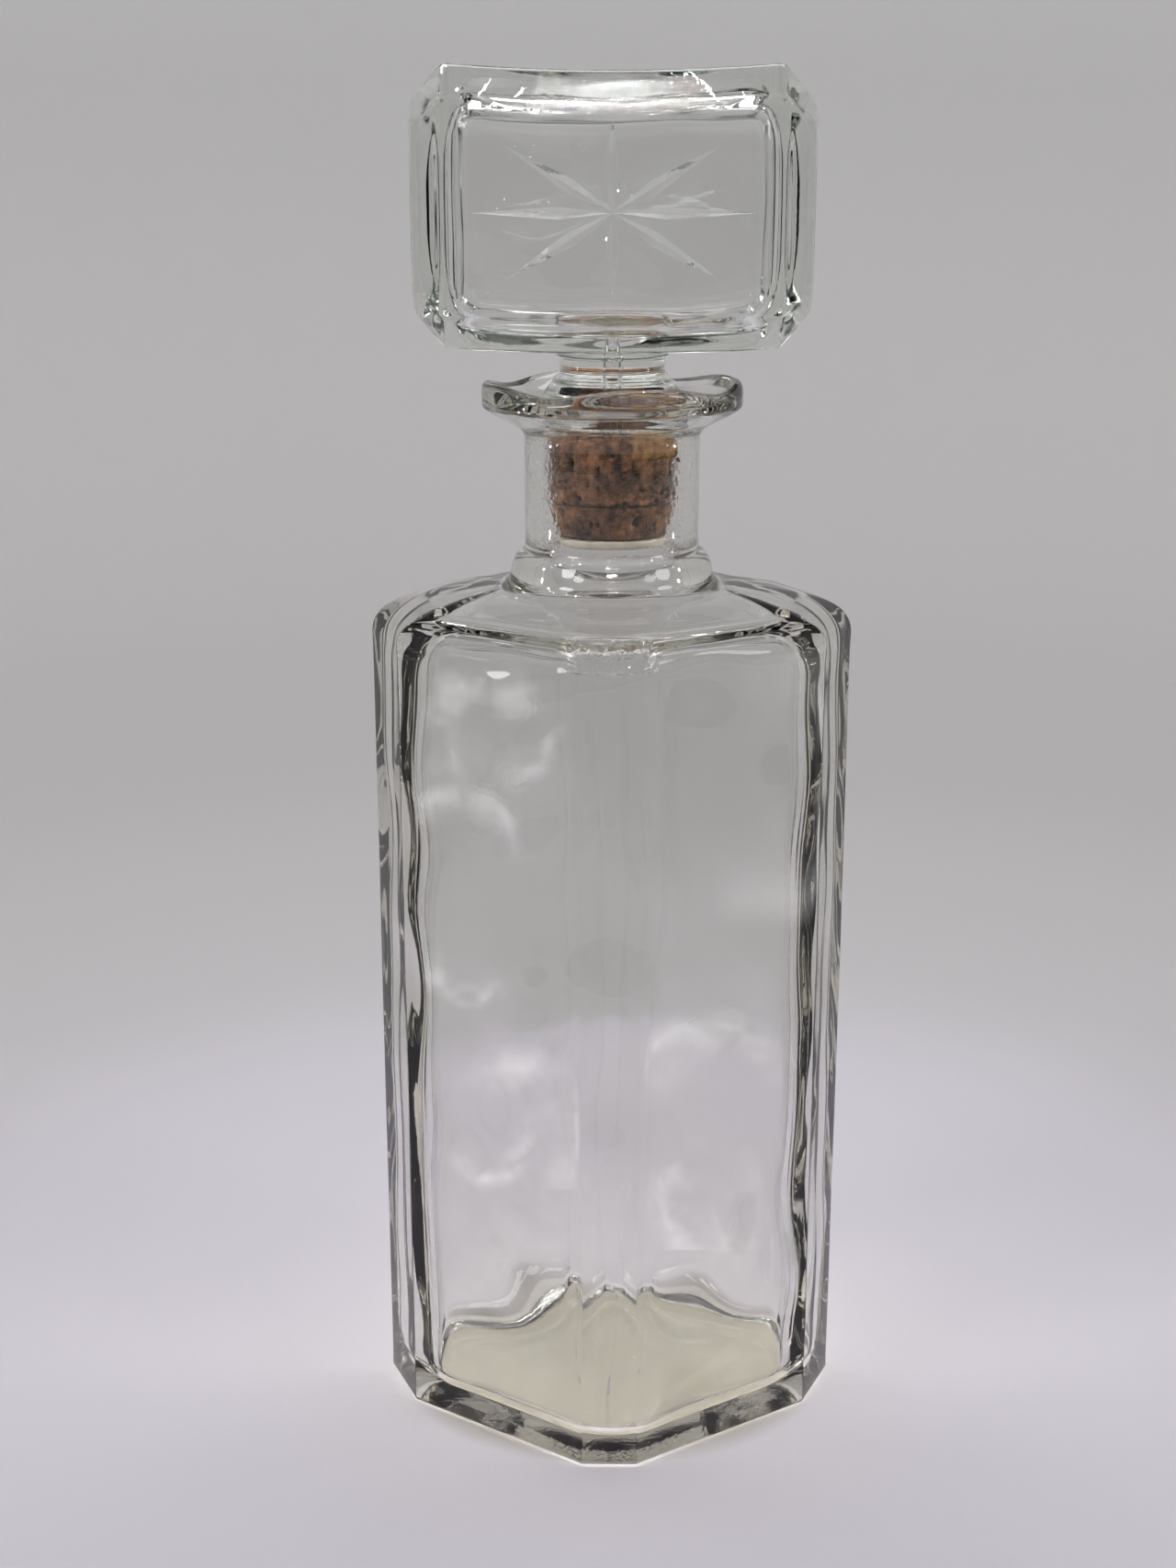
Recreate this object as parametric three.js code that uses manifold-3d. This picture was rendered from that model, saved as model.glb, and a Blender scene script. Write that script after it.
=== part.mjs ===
// Liquor decanter of clear glass: a ten-sided bottle with a lobed pouring lip, a hollow block stopper with a
// star cut in its front, a natural cork sleeve on the stopper's peg and a thin seal disc under the cork.
// Millimetres, +Z up, front towards -Y. The origin is the centre of the bottle's foot.
import * as THREE from 'three';
import { mergeVertices } from 'three/addons/utils/BufferGeometryUtils.js';
import Module from 'manifold-3d';

const wasm = await Module();
wasm.setup();

// ---------------------------------------------------------------- driving dimensions

const plan = { halfWidth: 53, halfDepth: 41.6, frontFlatHalf: 6.2, cornerX: 46, cornerY: 15.4 };
const foot = { heel: 1.6, ringWidth: 10, recess: 0.9, floorTop: 5.4 };
const wall = 4.3;
const shoulder = {
  start: 183.4, crown: 195.2, crownRadius: 22.4, insideStart: 181.3, insideFillet: 6.7,
  rim: [
    { rise: 0, front: 0, wide: 0, side: 0 },
    { rise: 3, front: 0.6, wide: 0, side: 0.4 },
    { rise: 5.4, front: 1.2, wide: 0, side: 1.9 },
    { rise: 6.9, front: 1.9, wide: 0.7, side: 3.3 },
    { rise: 7.6, front: 3.2, wide: 2, side: 5.4 },
  ],
};
const collar = { radius: 21.5, top: 200.4 };
const neck = { radius: 18.9, bottom: 204, top: 225, bore: 14 };
const lip = { radius: 28, under: 232.8, top: 238.9, lobes: 4, lobeDepth: 1.8, lobeTurn: -30 };
const mouth = { seat: 231.3, dishRadius: 25.9 };

const block = {
  halfWidth: 41.4, bottom: 246, top: 302.3, halfDepth: 18,
  cornerCut: 7, bevel: 6.2, topDip: 1.4, bevelDip: 3.6, bottomSag: 1.1, skin: 5.5,
};
const star = {
  centre: 273, depth: 1.2,
  rays: [
    { angle: 90, length: 18 }, { angle: 270, length: 16.8 }, { angle: 0, length: 29 }, { angle: 180, length: 29 },
    { angle: 31, length: 25.5 }, { angle: 149, length: 25.5 }, { angle: 211, length: 25.5 }, { angle: 329, length: 25.5 },
  ],
  widest: 0.38, width: 4.4,
};
const shank = { radius: 11.7, bottom: 240.5, domeCentre: 228.6, domeRadius: 16.4, domeBottom: 232.2 };
const peg = { radius: 8, bore: 1.6, bottom: 207.7 };
const cork = { radius: 13.6, top: 231.6, taperStart: 213.4, bottom: 206.1, endRadius: 12.2, bore: 8.4 };
const disc = { radius: 11.9, thickness: 2, gap: 0.3, spigotRadius: 8, spigotHeight: 1 };

const turnSteps = 36;

// ---------------------------------------------------------------- materials

const glass = new THREE.MeshStandardMaterial({
  name: 'bottle_glass', color: 0xdfe6df, roughness: 0.04, metalness: 0, transparent: true, opacity: 0.35,
});
const stopperGlass = new THREE.MeshStandardMaterial({
  name: 'stopper_glass', color: 0xdde5e0, roughness: 0.04, metalness: 0, transparent: true, opacity: 0.35,
});
const corkBrown = new THREE.MeshStandardMaterial({ name: 'cork', color: 0x8a5a34, roughness: 0.85, metalness: 0 });
const palePlastic = new THREE.MeshStandardMaterial({
  name: 'seal_disc', color: 0xd8d0c2, roughness: 0.5, metalness: 0,
});

// ---------------------------------------------------------------- meshes, lofts and booleans

function meshGeometry(positions, indices) {
  const geometry = new THREE.BufferGeometry();
  geometry.setAttribute('position', new THREE.Float32BufferAttribute(positions, 3));
  geometry.setIndex(indices);
  return geometry;
}

// Joins closed rings of equal length in order, and closes the first and the last with a fan to its own centre.
function loft(rings, startCentre, endCentre) {
  const count = rings[0].length;
  const positions = rings.flat().flatMap((point) => point.toArray());
  positions.push(...startCentre.toArray(), ...endCentre.toArray());
  const start = rings.length * count;
  const end = start + 1;
  const last = (rings.length - 1) * count;
  const indices = [];
  for (let k = 0; k < count; k += 1) {
    const next = (k + 1) % count;
    indices.push(start, next, k);
    indices.push(end, last + k, last + next);
    for (let ring = 0; ring < rings.length - 1; ring += 1) {
      const low = ring * count;
      const high = low + count;
      indices.push(low + k, low + next, high + next);
      indices.push(low + k, high + next, high + k);
    }
  }
  return meshGeometry(positions, indices);
}

function toSolid(geometry) {
  const bare = geometry.clone();
  bare.deleteAttribute('normal');
  bare.deleteAttribute('uv');
  const merged = mergeVertices(bare, 1e-4);
  const triangles = dropSlivers(merged.index.array);
  return new wasm.Manifold(new wasm.Mesh({
    numProp: 3,
    vertProperties: new Float32Array(merged.attributes.position.array),
    triVerts: new Uint32Array(triangles),
  }));
}

// Rings that meet the axis leave triangles with two corners in one place.
function dropSlivers(index) {
  const kept = [];
  for (let k = 0; k < index.length; k += 3) {
    const [a, b, c] = [index[k], index[k + 1], index[k + 2]];
    if (a !== b && b !== c && c !== a) {
      kept.push(a, b, c);
    }
  }
  return kept;
}

function fromSolid(solid) {
  const mesh = solid.getMesh();
  return meshGeometry(Array.from(mesh.vertProperties), Array.from(mesh.triVerts));
}

// Points [radius, height] on a quarter or other stretch of a circle, angles in degrees from +radius towards +height.
function arc(radius, height, size, from, to, steps) {
  return Array.from({ length: steps + 1 }, (_, k) => {
    const angle = THREE.MathUtils.degToRad(from + ((to - from) * k) / steps);
    return [radius + size * Math.cos(angle), height + size * Math.sin(angle)];
  });
}

function turned(profile, steps = turnSteps) {
  const lathe = new THREE.LatheGeometry(profile.map(([radius, height]) => new THREE.Vector2(radius, height)), steps);
  return lathe.rotateX(Math.PI / 2);
}

// ---------------------------------------------------------------- plan of the bottle

function planCorners() {
  const quarter = [[plan.cornerX, plan.cornerY], [plan.frontFlatHalf, plan.halfDepth]];
  const corners = [[plan.halfWidth, 0], [-plan.halfWidth, 0]];
  for (const [x, y] of quarter) {
    corners.push([x, y], [-x, y], [-x, -y], [x, -y]);
  }
  return corners.sort((a, b) => Math.atan2(a[1], a[0]) - Math.atan2(b[1], b[0]));
}

const corners = planCorners();

const flats = corners.map(([x, y], k) => {
  const [nextX, nextY] = corners[(k + 1) % corners.length];
  const direction = Math.atan2(x - nextX, nextY - y);
  return { direction, distance: x * Math.cos(direction) + y * Math.sin(direction), kind: flatKind(direction) };
});

// The narrow flats face front and back, the wide ones beside them, and two flats meet on each side.
function flatKind(direction) {
  const facing = Math.abs(Math.sin(direction));
  if (facing > 0.99) {
    return 'front';
  }
  return facing > 0.7 ? 'wide' : 'side';
}

// Directions of the corners, with enough between them to make the neck round.
function planAngles(widest) {
  const marks = corners.map(([x, y]) => Math.atan2(y, x));
  return marks.flatMap((from, k) => {
    const to = k + 1 < marks.length ? marks[k + 1] : marks[0] + 2 * Math.PI;
    const parts = Math.ceil((to - from) / widest);
    return Array.from({ length: parts }, (_, part) => from + ((to - from) * part) / parts);
  });
}

const angles = planAngles(THREE.MathUtils.degToRad(9.8));

// Distance from the axis to the ten flats, moved in by one inset or by one for each kind of flat. A softness
// above 0 rounds the corners.
function planRadius(angle, inset, softness) {
  const insetOf = (kind) => (typeof inset === 'number' ? inset : inset[kind]);
  const reach = flats
    .map(({ direction, distance, kind }) => Math.cos(angle - direction) / (distance - insetOf(kind)))
    .filter((value) => value > 0);
  if (softness === 0) {
    return 1 / Math.max(...reach);
  }
  const power = 1 / softness;
  return reach.reduce((sum, value) => sum + value ** power, 0) ** -softness;
}

// A ring of the bottle: its height, its inset plan or its radius, and how far it has gone from one to the other.
function ring({ height, inset = 0, softness = 0, radius = 0, roundness = 0, lobe = 0 }) {
  return angles.map((angle) => {
    const flat = roundness < 1 ? planRadius(angle, inset, softness) : 0;
    const distance = flat * (1 - roundness) + radius * roundness;
    const drop = lobe * lobeDrop(angle);
    return new THREE.Vector3(distance * Math.cos(angle), distance * Math.sin(angle), height - drop);
  });
}

// The lip's rim has a shallow pouring notch between each two lobes.
function lobeDrop(angle) {
  const turn = THREE.MathUtils.degToRad(lip.lobeTurn - 90);
  const wave = (1 + Math.cos(lip.lobes * (angle - turn))) / 2;
  return lip.lobeDepth * wave ** 1.6;
}

const round = ([radius, height]) => ring({ radius, height, roundness: 1 });

// ---------------------------------------------------------------- bottle

function footRings() {
  const ringInner = foot.heel + foot.ringWidth;
  return [
    ring({ height: foot.recess, inset: ringInner + 1.4, softness: 0.02 }),
    ring({ height: 0, inset: ringInner, softness: 0.02 }),
    ring({ height: 0, inset: foot.heel }),
    ring({ height: foot.heel * 0.4, inset: foot.heel * 0.3 }),
    ring({ height: foot.heel, inset: 0 }),
  ];
}

// From the rim of the shoulder the ten flats run out into its round crown.
function crownRings(inset, height, softness, crown, crownRadius) {
  return [0.3, 0.6, 0.85].map((part) => ring({
    height: height + (crown - height) * Math.sin((part * Math.PI) / 2.6),
    inset,
    softness,
    radius: crownRadius,
    roundness: part,
  }));
}

// Outside, the narrow flats end in a leaning cut, the wide ones in a tight roll and the sides in a soft one.
function shoulderOutside() {
  const rim = shoulder.rim.map(({ rise, ...insets }, k) => ring({
    height: shoulder.start + rise,
    inset: insets,
    softness: 0.006 * k,
    radius: shoulder.crownRadius,
    roundness: 0.01 * k,
  }));
  const { rise, ...insets } = shoulder.rim.at(-1);
  const crown = crownRings(insets, shoulder.start + rise, 0.04, shoulder.crown, shoulder.crownRadius);
  return [...rim, ...crown];
}

// Inside, the shoulder is blown: one soft fillet all round. Rings run downwards.
function shoulderInside() {
  const steps = 3;
  const fillet = shoulder.insideFillet;
  const roll = Array.from({ length: steps + 1 }, (_, k) => {
    const angle = ((Math.PI / 2) * k) / steps;
    return ring({
      height: shoulder.insideStart + fillet * Math.sin(angle),
      inset: wall + fillet * (1 - Math.cos(angle)),
      softness: 0.06 * k,
      radius: shoulder.crownRadius,
      roundness: 0.02 * k,
    });
  });
  const top = shoulder.insideStart + fillet;
  const crownRadius = shoulder.crownRadius - wall * 0.85;
  const crown = crownRings(wall + fillet, top, 0.3, shoulder.crown - wall, crownRadius);
  return [...roll, ...crown].reverse();
}

function neckOutside() {
  const collarFillet = 1.9;
  const lipFillet = lip.under - neck.top - 1;
  return [
    [shoulder.crownRadius, shoulder.crown],
    [collar.radius, shoulder.crown + 1.6],
    ...arc(collar.radius - collarFillet, collar.top - 0.2, collarFillet, 0, 70, 3),
    [neck.radius, neck.bottom],
    ...arc(neck.radius + lipFillet, neck.top, lipFillet, 180, 100, 4),
    [lip.radius - 0.9, lip.under],
    [lip.radius, lip.under + 1],
  ].map(round);
}

function rimRings() {
  return [
    ring({ radius: lip.radius, height: lip.top - 1.1, roundness: 1, lobe: 1 }),
    ring({ radius: lip.radius - 0.8, height: lip.top - 0.1, roundness: 1, lobe: 1 }),
    ring({ radius: mouth.dishRadius, height: lip.top - 0.3, roundness: 1, lobe: 0.95 }),
    ring({ radius: mouth.dishRadius - 3.4, height: lip.top - 3.6, roundness: 1, lobe: 0.4 }),
  ];
}

function neckInside() {
  const crown = shoulder.crown - wall;
  return [
    [17.2, mouth.seat],
    [15.2, mouth.seat - 0.6],
    [neck.bore, mouth.seat - 2.4],
    [neck.bore, neck.bottom - 3],
    [neck.bore + 0.9, shoulder.crown + 0.6],
    [neck.bore + 3.2, crown + 1.6],
  ].map(round);
}

function floorRings() {
  const corner = 9;
  const steps = 4;
  return Array.from({ length: steps + 1 }, (_, k) => {
    const angle = ((Math.PI / 2) * k) / steps;
    return ring({
      height: foot.floorTop + corner * (1 - Math.sin(angle)),
      inset: wall + corner * (1 - Math.cos(angle)),
      softness: 0.04 + 0.03 * k,
    });
  });
}

function bottleGeometry() {
  const rings = [
    ...footRings(),
    ...shoulderOutside(),
    ...neckOutside(),
    ...rimRings(),
    ...neckInside(),
    ...shoulderInside(),
    ...floorRings(),
  ];
  return loft(rings, new THREE.Vector3(0, 0, foot.recess), new THREE.Vector3(0, 0, foot.floorTop));
}

// ---------------------------------------------------------------- stopper

// 1 at the middle of the width, 0 where the flat top ends.
function bow(x) {
  const reach = Math.min(Math.abs(x) / (block.halfWidth - block.cornerCut), 1);
  return 1 - reach * reach;
}

// One upright section of the block: a rectangle with bevelled corners, lower and narrower towards the ends.
function blockSection(x) {
  const past = Math.max(Math.abs(x) - (block.halfWidth - block.cornerCut), 0);
  const pastPanel = Math.max(Math.abs(x) - (block.halfWidth - block.bevel), 0);
  const top = block.top - past - block.topDip * bow(x);
  const bottom = block.bottom + past - block.bottomSag * bow(x);
  const depth = block.halfDepth - pastPanel;
  const panelTop = block.top - block.bevel - past * 0.8 - block.bevelDip * bow(x);
  const panelBottom = block.bottom + block.bevel + past * 0.8 - block.bottomSag * bow(x);
  const edge = depth - block.bevel * 0.8;
  const outline = [
    [-depth, panelBottom], [-edge, bottom], [edge, bottom], [depth, panelBottom],
    [depth, panelTop], [edge, top], [-edge, top], [-depth, panelTop],
  ];
  return outline.map(([y, z]) => new THREE.Vector3(x, y, z));
}

function blockSolid() {
  const panelEdge = block.halfWidth - block.bevel;
  const topEdge = block.halfWidth - block.cornerCut;
  const half = [0, topEdge * 0.25, topEdge * 0.5, topEdge * 0.75, topEdge, panelEdge, block.halfWidth];
  const stations = [...half.slice(1).reverse().map((x) => -x), ...half];
  const middle = (block.top + block.bottom) / 2;
  const ends = [-block.halfWidth, block.halfWidth].map((x) => new THREE.Vector3(x, 0, middle));
  return toSolid(loft(stations.map(blockSection), ends[0], ends[1]));
}

// The blown hollow: a box with well rounded corners, as sections of a superellipse.
function hollowSolid() {
  const halfWidth = block.halfWidth - block.skin * 1.3;
  const halfDepth = block.halfDepth - block.skin;
  const halfHeight = (block.top - block.bottom) / 2 - block.skin * 1.2;
  const middle = (block.top + block.bottom) / 2 - 0.6;
  const around = 24;
  const squareness = 5;
  const stations = [-1, -0.95, -0.82, -0.5, 0, 0.5, 0.82, 0.95, 1];
  const rings = stations.map((part) => {
    const shrink = Math.max(1 - Math.abs(part) ** 7, 0.06) ** 0.35;
    return Array.from({ length: around }, (_, k) => {
      const angle = (2 * Math.PI * k) / around;
      const [c, s] = [Math.cos(angle), Math.sin(angle)];
      const size = (Math.abs(c) ** squareness + Math.abs(s) ** squareness) ** (-1 / squareness);
      const y = c * size * halfDepth * shrink;
      return new THREE.Vector3(part * halfWidth, y, middle + s * size * halfHeight * shrink);
    });
  });
  const ends = [-halfWidth, halfWidth].map((x) => new THREE.Vector3(x, 0, middle));
  return toSolid(loft(rings, ends[0], ends[1]));
}

// One spear-shaped ray: pointed at both ends, widest nearer the star's centre, and V-shaped in section. The
// cutter stands proud of the panel, so its ends and its width are carried on past the spear that it leaves.
function raySolid({ angle, length }) {
  const half = (star.width / 2) * (0.72 + 0.28 * Math.abs(Math.sin(THREE.MathUtils.degToRad(angle))));
  const widest = length * star.widest;
  const proud = 2;
  const past = proud / star.depth;
  const points = [
    [-widest * past, 0, proud],
    [length + (length - widest) * past, 0, proud],
    [widest, half * (1 + past), proud],
    [widest, -half * (1 + past), proud],
    [widest, 0, -star.depth],
  ];
  const indices = [0, 3, 1, 0, 1, 2, 0, 2, 4, 2, 1, 4, 1, 3, 4, 3, 0, 4];
  const geometry = meshGeometry(points.flat(), indices);
  geometry.rotateZ(THREE.MathUtils.degToRad(angle));
  geometry.rotateX(Math.PI / 2);
  geometry.translate(0, -block.halfDepth, star.centre);
  return toSolid(geometry);
}

function stemSolid() {
  const top = block.bottom + 3;
  const profile = [
    [0, peg.bottom], [peg.radius - 0.8, peg.bottom], [peg.radius, peg.bottom + 0.8], [peg.radius, shank.domeBottom],
    ...domeArc(),
    [shank.radius, shank.bottom], [shank.radius, top], [0, top],
  ];
  return toSolid(turned(profile));
}

function domeArc() {
  const angleAt = (height) => THREE.MathUtils.radToDeg(Math.asin((height - shank.domeCentre) / shank.domeRadius));
  const upper = THREE.MathUtils.radToDeg(Math.acos(shank.radius / shank.domeRadius));
  return arc(0, shank.domeCentre, shank.domeRadius, angleAt(shank.domeBottom), upper, 4);
}

function boreSolid() {
  const top = block.bottom + block.skin * 2.5;
  const profile = [[0, peg.bottom - 1], [peg.bore, peg.bottom - 1], [peg.bore, top], [0, top]];
  return toSolid(turned(profile, 24));
}

function stopperGeometry() {
  let solid = blockSolid().add(stemSolid()).subtract(hollowSolid()).subtract(boreSolid());
  for (const ray of star.rays) {
    solid = solid.subtract(raySolid(ray));
  }
  return fromSolid(solid);
}

// ---------------------------------------------------------------- cork and seal disc

function corkGeometry() {
  const edge = 0.6;
  const profile = [
    [cork.bore, cork.bottom], [cork.endRadius - edge, cork.bottom], [cork.endRadius, cork.bottom + edge],
    [cork.radius, cork.taperStart], [cork.radius, cork.top - edge], [cork.radius - edge, cork.top],
    [cork.bore, cork.top], [cork.bore, cork.bottom],
  ];
  return turned(profile);
}

function discGeometry() {
  const top = cork.bottom - disc.gap;
  const bottom = top - disc.thickness;
  const edge = 0.5;
  const profile = [
    [0, bottom], [disc.radius - edge, bottom], [disc.radius, bottom + edge], [disc.radius, top],
    [disc.spigotRadius, top], [disc.spigotRadius, top + disc.spigotHeight], [0, top + disc.spigotHeight],
  ];
  return turned(profile);
}

// ---------------------------------------------------------------- assembly

function piece(name, geometry, material) {
  const mesh = new THREE.Mesh(geometry, material);
  mesh.name = name;
  return mesh;
}

const group = new THREE.Group();
group.add(piece('bottle', bottleGeometry(), glass));
group.add(piece('stopper', stopperGeometry(), stopperGlass));
group.add(piece('cork_sleeve', corkGeometry(), corkBrown));
group.add(piece('seal_disc', discGeometry(), palePlastic));

export default group;
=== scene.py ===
"""Looks of the liquor decanter: fine glass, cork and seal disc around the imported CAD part, in metres."""
import math

import bpy
import numpy as np
from mathutils import Matrix, Vector


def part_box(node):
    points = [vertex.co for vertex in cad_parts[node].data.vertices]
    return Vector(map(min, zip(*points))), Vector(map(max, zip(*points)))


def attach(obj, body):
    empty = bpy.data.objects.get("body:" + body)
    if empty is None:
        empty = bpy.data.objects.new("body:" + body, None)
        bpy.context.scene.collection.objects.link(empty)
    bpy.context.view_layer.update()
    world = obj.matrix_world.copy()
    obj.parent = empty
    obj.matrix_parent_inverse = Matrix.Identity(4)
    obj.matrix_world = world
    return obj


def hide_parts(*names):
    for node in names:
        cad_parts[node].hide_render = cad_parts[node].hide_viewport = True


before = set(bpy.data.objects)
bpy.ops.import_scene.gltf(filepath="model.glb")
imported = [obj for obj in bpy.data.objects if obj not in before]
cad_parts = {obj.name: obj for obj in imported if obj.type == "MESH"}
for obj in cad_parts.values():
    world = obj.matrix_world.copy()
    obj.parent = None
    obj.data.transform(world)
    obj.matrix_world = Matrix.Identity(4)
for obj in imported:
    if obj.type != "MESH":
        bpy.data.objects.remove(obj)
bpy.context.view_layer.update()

MM = 0.001
random = np.random.default_rng(7)

# ---------------------------------------------------------------- sizes, in millimetres

bottle_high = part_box("bottle")[1] / MM
stopper_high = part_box("stopper")[1] / MM
cork_low, cork_high = (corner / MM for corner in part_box("cork_sleeve"))
disc_low, disc_high = (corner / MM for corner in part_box("seal_disc"))

half_width = bottle_high.x
half_depth = bottle_high.y
lip_top = bottle_high.z

plan_corners = [
    (half_width, 0),
    (half_width - 7, half_depth - 26.2),
    (6.2, half_depth),
]
foot_ring_inset = 10
foot_recess = 0.8
heel = 1.5
wall = 4.3
side_wall = 5.8
edge_radius = 1.1
inside_corner = 14.5
floor_top = 4.6
waist_height = 86
waist_reach = 9
rim_start = lip_top - 55.5
crown_height = lip_top - 43.9
collar_radius = 21.5
collar_foot = collar_radius + 4.1
neck_radius = 18.9
bore_radius = 14
lip_radius = 28
lip_under = lip_top - 6.1
dish_radius = 25.9
seat_height = lip_top - 7.6

# The lip's notches; the first one's direction is in degrees, and the inset is a share of the radius.
notch_count = 4
notch_degrees = -120
notch_dip = 1.9
notch_inset = 0.028

block_half_width = stopper_high.x
block_half_depth = stopper_high.y
block_top = stopper_high.z
block_bottom = block_top - 56.3
block_bevel = 6.2
block_corner = 7.0
block_edge = 0.6
block_top_dip = 1.4
block_bevel_dip = 3.6
block_bottom_sag = 1.1
vent_radius = 1.6

# A turned piece starts this close to its axis.
on_axis = 0.01

# ---------------------------------------------------------------- plain helpers


def wave_field(count, longest, shortest):
    """A smooth random field made of sine waves: a function of points in millimetres, about -1 to 1."""
    length = random.uniform(shortest, longest, count)
    direction = random.normal(size=(count, 3))
    direction /= np.linalg.norm(direction, axis=1)[:, None]
    phase = random.uniform(0, 2 * math.pi, count)
    strength = 1 / math.sqrt(count / 2)

    def field(points):
        turns = points @ (direction * (2 * math.pi / length)[:, None]).T + phase
        return np.sin(turns).sum(-1) * strength

    return field


def bezier(start, middle, end, steps):
    """Points on a quadratic curve, both ends included."""
    t = np.linspace(0, 1, steps + 1)[:, None]
    a, b, c = (np.array(p, float) for p in (start, middle, end))
    return (1 - t) ** 2 * a + 2 * t * (1 - t) * b + t**2 * c


def path(*pieces):
    """Joins stretches of profile points, without doubled joints."""
    points = [np.atleast_2d(np.array(piece, float)) for piece in pieces]
    joined = np.vstack(points)
    keep = [True] + [np.linalg.norm(b - a) > 1e-6 for a, b in zip(joined[:-1], joined[1:])]
    return joined[keep]


def ring_mesh(name, rings, cap_ends=True):
    """A closed mesh from rings of equal length, in millimetres; each end is closed with a fan."""
    rings = np.array(rings, float)
    rows, count = rings.shape[:2]
    points = list(map(tuple, rings.reshape(-1, 3) * MM))
    faces = []
    for row in range(rows - 1):
        low, high = row * count, (row + 1) * count
        for k in range(count):
            n = (k + 1) % count
            faces.append((low + k, low + n, high + n, high + k))
    if cap_ends:
        for ring, turn in ((0, -1), (rows - 1, 1)):
            centre = len(points)
            points.append(tuple(rings[ring].mean(0) * MM))
            for k in range(count):
                edge = (ring * count + k, ring * count + (k + 1) % count)
                faces.append((centre, *edge[::turn]))
    mesh = bpy.data.meshes.new(name)
    mesh.from_pydata(points, [], faces)
    mesh.validate()
    piece = bpy.data.objects.new(name, mesh)
    bpy.context.scene.collection.objects.link(piece)
    return piece


def turned(name, profile, steps, closed=False):
    """A turned piece from (radius, height) points, with a fan at each end unless it closes on itself."""
    angles = np.linspace(0, 2 * math.pi, steps, endpoint=False)
    profile = np.array(profile, float)
    rings = [
        np.stack([r * np.cos(angles), r * np.sin(angles), np.full(steps, z)], 1) for r, z in profile
    ]
    if closed:
        rings.append(rings[0])
    return ring_mesh(name, rings, cap_ends=not closed)


def smooth(piece, crease):
    """Smooth shading, but for creases sharper than this angle."""
    for polygon in piece.data.polygons:
        polygon.use_smooth = True
    piece.data.set_sharp_from_angle(angle=math.radians(crease))


def set_crinkle(piece, values):
    """How crinkled the glass is at each point, which its material reads."""
    crinkle = piece.data.attributes.new("crinkle", "FLOAT", "POINT")
    crinkle.data.foreach_set("value", np.asarray(values, np.float32))


def apply_modifiers(piece):
    """Turns a piece's modifiers into plain mesh."""
    graph = bpy.context.evaluated_depsgraph_get()
    mesh = bpy.data.meshes.new_from_object(piece.evaluated_get(graph))
    piece.modifiers.clear()
    piece.data = mesh


def combine(piece, other, operation):
    """Boolean of two pieces; the second one is used up."""
    modifier = piece.modifiers.new("combine", "BOOLEAN")
    modifier.operation = operation
    modifier.solver = "EXACT"
    modifier.object = other
    apply_modifiers(piece)
    bpy.data.objects.remove(other)


# ---------------------------------------------------------------- plan of the bottle

quarter = [np.array(p, float) for p in plan_corners]
corners = (
    quarter
    + [p * (-1, 1) for p in reversed(quarter[1:])]
    + [quarter[0] * (-1, 1)]
    + [p * (-1, -1) for p in quarter[1:]]
    + [p * (1, -1) for p in reversed(quarter[1:])]
)
corners = np.array(corners)
sides = len(corners)
along = np.roll(corners, -1, 0) - corners
normals = np.stack([along[:, 1], -along[:, 0]], 1) / np.linalg.norm(along, axis=1)[:, None]
reaches = (corners * normals).sum(1)
facing = np.arctan2(normals[:, 1], normals[:, 0])

# Each flat of the plan is a front, a wide or a side one.
kinds = np.where(np.abs(normals[:, 1]) > 0.99, 0, np.where(np.abs(normals[:, 1]) > 0.7, 1, 2))
parts_of_kind = {0: 7, 1: 24, 2: 8}
arc_points = 7


def by_kind(front, wide, side):
    """A value for each flat of the plan."""
    return np.choose(kinds, [front, wide, side]).astype(float)


inside_insets = by_kind(wall, wall - 0.3, side_wall)


def outline(inset, radius):
    """The plan with each flat moved in by its inset and corners of this radius.

    Gives the points, and each one's place along the flats: flat numbers, with fractions on the corners.
    """
    points, places = [], []
    moved = reaches - inset
    ends = []
    for k in range(sides):
        before = k - 1
        matrix = np.array([normals[before], normals[k]])
        centre = np.linalg.solve(matrix, [moved[before] - radius, moved[k] - radius])
        turn = (facing[k] - facing[before]) % (2 * math.pi)
        t = np.linspace(0, 1, arc_points)
        angles = facing[before] + turn * t
        ends.append(centre[None] + radius * np.stack([np.cos(angles), np.sin(angles)], 1))
    for k in range(sides):
        points.append(ends[k])
        places.append(k - 1 + np.linspace(0, 1, arc_points))
        count = parts_of_kind[int(kinds[k])]
        t = np.linspace(0, 1, count + 2)[1:-1, None]
        points.append(ends[k][-1] * (1 - t) + ends[(k + 1) % sides][0] * t)
        places.append(np.full(count, float(k)))
    return np.vstack(points), np.concatenate(places)


reference, places = outline(np.zeros(sides), edge_radius)
directions = np.arctan2(reference[:, 1], reference[:, 0])
ring_size = len(reference)


def along_places(values):
    """Spreads one value for each flat over a ring's points, blending on the corners."""
    low = np.floor(places).astype(int)
    share = places - low
    return values[low % sides] * (1 - share) + values[(low + 1) % sides] * share


def plan_ring(inset, height, radius):
    """A ring on the plan; inset and height may differ from flat to flat."""
    inset = np.broadcast_to(np.asarray(inset, float), (sides,))
    height = np.broadcast_to(np.asarray(height, float), (sides,))
    points, _ = outline(inset, radius)
    return np.column_stack([points, along_places(height)])


def round_ring(radius, height):
    """A round ring whose points lie in the same directions as the plan's."""
    heights = np.full(ring_size, float(height))
    return np.column_stack([radius * np.cos(directions), radius * np.sin(directions), heights])


def between(first, last, share, height_share):
    """A ring part of the way from one ring to another, with its height going at its own pace."""
    ring = first * (1 - share) + last * share
    ring[:, 2] = first[:, 2] * (1 - height_share) + last[:, 2] * height_share
    return ring


# ---------------------------------------------------------------- bottle


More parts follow.
